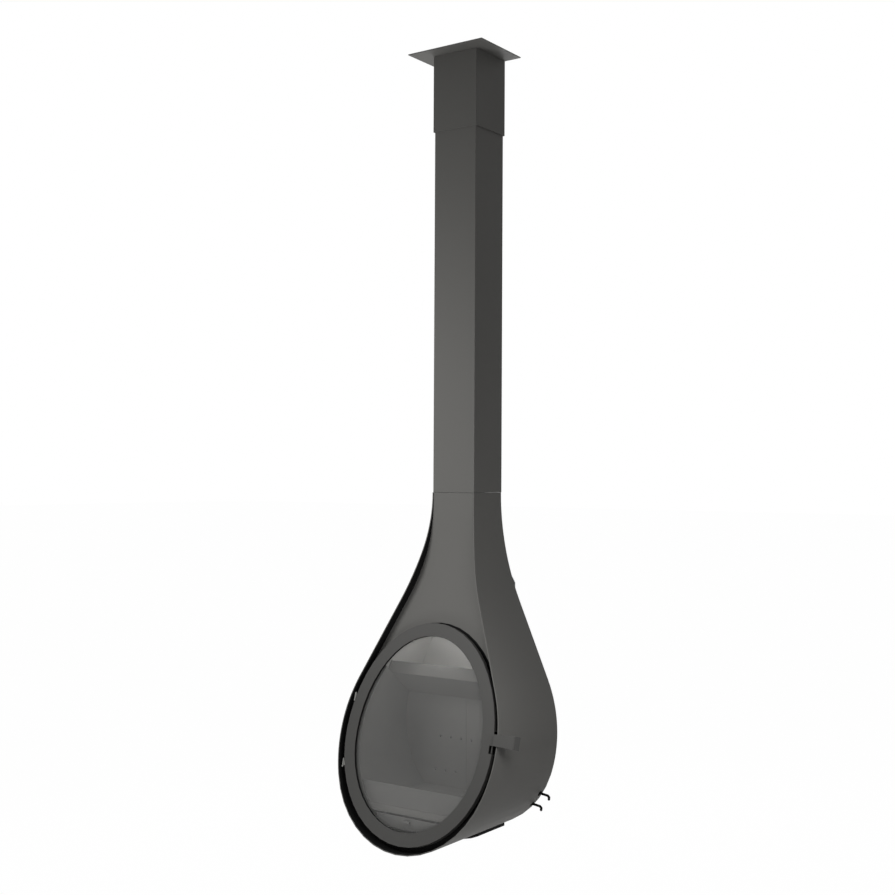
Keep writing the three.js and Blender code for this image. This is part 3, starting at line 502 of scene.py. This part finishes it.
# painted shade: the wrap's grey inner faces take black paint for the shade in the recess
paintShadeBlack(soft["side_wrap"], insideOfWrap)
# painted shade: the door frame's return round the glass takes black paint for the shadow line
# there
paintShadeBlack(soft["door_frame"], windowReturn)
# painted shade: the whole air duct takes black paint so that its holes look dark, as shade
# inside it would make them
paintShadeBlack(soft["secondary_air_duct"], lambda place, normal: True)
print("pieces with soft edges:", len(soft))


def onDoor(turn, inset, depth):
    # a point at an angle round the oval, a distance inside its edge and behind the rim
    reach = door["up"] if sin(turn) > 0 else door["down"]
    return doorPlace @ Vector(((door["half"] - inset) * cos(turn), depth,
                               (reach - inset) * sin(turn)))


def cordsRound(name, paths, radius, sides):
    # closed round cords along the given paths, as one mesh
    curve = bpy.data.curves.new(name, "CURVE")
    curve.dimensions = "3D"
    curve.bevel_depth = radius
    curve.bevel_resolution = sides
    for path in paths:
        spline = curve.splines.new("POLY")
        spline.points.add(len(path) - 1)
        for point, place in zip(spline.points, path):
            point.co = (*place, 1)
        spline.use_cyclic_u = True
    holder = placed(name + "Curve", curve)
    mesh = bpy.data.meshes.new_from_object(
        holder.evaluated_get(bpy.context.evaluated_depsgraph_get()))
    bpy.data.objects.remove(holder)
    mesh.name = name
    for face in mesh.polygons:
        face.use_smooth = True
    return placed(name, mesh)


# flat braided rope in the seat behind the door, strands crossing over and under
rope = {"inset": 0.013, "depth": 0.0302, "strands": 6, "swing": 0.0045, "lift": 0.0012,
        "strand": 0.00145, "braids": 86, "steps": 8}


def braidRope():
    paths = []
    count = rope["braids"] * rope["steps"]
    for strand in range(rope["strands"]):
        shift = strand / rope["strands"]
        path = []
        for step in range(count):
            phase = 2 * pi * (step / rope["steps"] + shift)
            path.append(onDoor(2 * pi * step / count,
                               rope["inset"] + rope["swing"] * sin(phase),
                               rope["depth"] + rope["lift"] * sin(2 * phase)))
        paths.append(path)
    piece = cordsRound("door_rope", paths, rope["strand"], 1)
    coat(piece, "rope_seal")
    settle(piece, "door_rope_seal")


# woven tape under the glass, many thin cords side by side
tape = {"from": 0.0368, "to": 0.0492, "depth": 0.0188, "cords": 14, "cord": 0.00046,
        "wave": 0.00003, "waves": 300, "steps": 720}


def layTape():
    paths = []
    for cord in range(tape["cords"]):
        inset = tape["from"] + (tape["to"] - tape["from"]) * cord / (tape["cords"] - 1)
        path = [onDoor(2 * pi * step / tape["steps"], inset,
                       tape["depth"] + tape["wave"] * (-1) ** (step + cord))
                for step in range(tape["steps"])]
        paths.append(path)
    piece = cordsRound("glass_tape_woven", paths, tape["cord"], 1)
    coat(piece, "rope_seal")
    settle(piece, "glass_tape")


braidRope()
layTape()
print("rope and tape are laid")


# screws that hold the glass retainer: rounded head with a round socket, shank below
screw = {"count": 6, "head": 0.0045, "tall": 0.0029, "socket": 0.0022, "sunk": 0.0014,
         "shank": 0.0022, "below": 0.0035, "round": 0.0009, "roundSteps": 3, "sides": 24,
         "smoothTo": 40}


def drawn(bm, face, height):
    # a face pulled along the screw, with walls behind it
    grown = bmesh.ops.extrude_face_region(bm, geom=[face])
    end = next(part for part in grown["geom"] if isinstance(part, bmesh.types.BMFace))
    bmesh.ops.translate(bm, verts=end.verts, vec=(0, 0, height))
    return end


def narrowed(bm, face, step):
    bmesh.ops.inset_region(bm, faces=[face], thickness=step, use_even_offset=True)


def turnScrew(node):
    bm = bmesh.new()
    bmesh.ops.create_circle(bm, cap_ends=True, radius=screw["head"],
                            segments=screw["sides"])
    top = drawn(bm, bm.faces[:][0], screw["tall"])
    bmesh.ops.bevel(bm, geom=list(top.edges), offset=screw["round"],
                    segments=screw["roundSteps"], profile=0.5, affect="EDGES",
                    clamp_overlap=True, material=-1)
    crown = max(bm.faces, key=lambda face: (face.calc_center_median().z, face.calc_area()))
    narrowed(bm, crown, screw["head"] - screw["round"] - screw["socket"])
    drawn(bm, crown, -screw["sunk"])
    bmesh.ops.delete(bm, geom=[crown], context="FACES_ONLY")
    foot = min(bm.faces, key=lambda face: face.calc_center_median().z)
    narrowed(bm, foot, screw["head"] - screw["shank"])
    drawn(bm, foot, -screw["below"])
    bmesh.ops.delete(bm, geom=[foot], context="FACES_ONLY")
    bmesh.ops.recalc_face_normals(bm, faces=bm.faces)
    low, high = (Vector(corner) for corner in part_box(node))
    inward = (doorPlace.to_3x3() @ Vector((0, 1, 0))).normalized()
    middle = (low + high) / 2 - inward * (screw["tall"] - screw["below"]) / 2
    turn = Vector((0, 0, 1)).rotation_difference(inward).to_matrix().to_4x4()
    bmesh.ops.transform(bm, matrix=Matrix.Translation(middle) @ turn, verts=bm.verts)
    mesh = bpy.data.meshes.new(node + "_turned")
    bm.to_mesh(mesh)
    bm.free()
    for face in mesh.polygons:
        face.use_smooth = True
    mesh.set_sharp_from_angle(angle=radians(screw["smoothTo"]))
    piece = placed(node + "_turned", mesh)
    coat(piece, slotOfNode[node])
    settle(piece, node)


for number in range(1, screw["count"] + 1):
    turnScrew("retainer_screw_%d" % number)
print("screws are in")
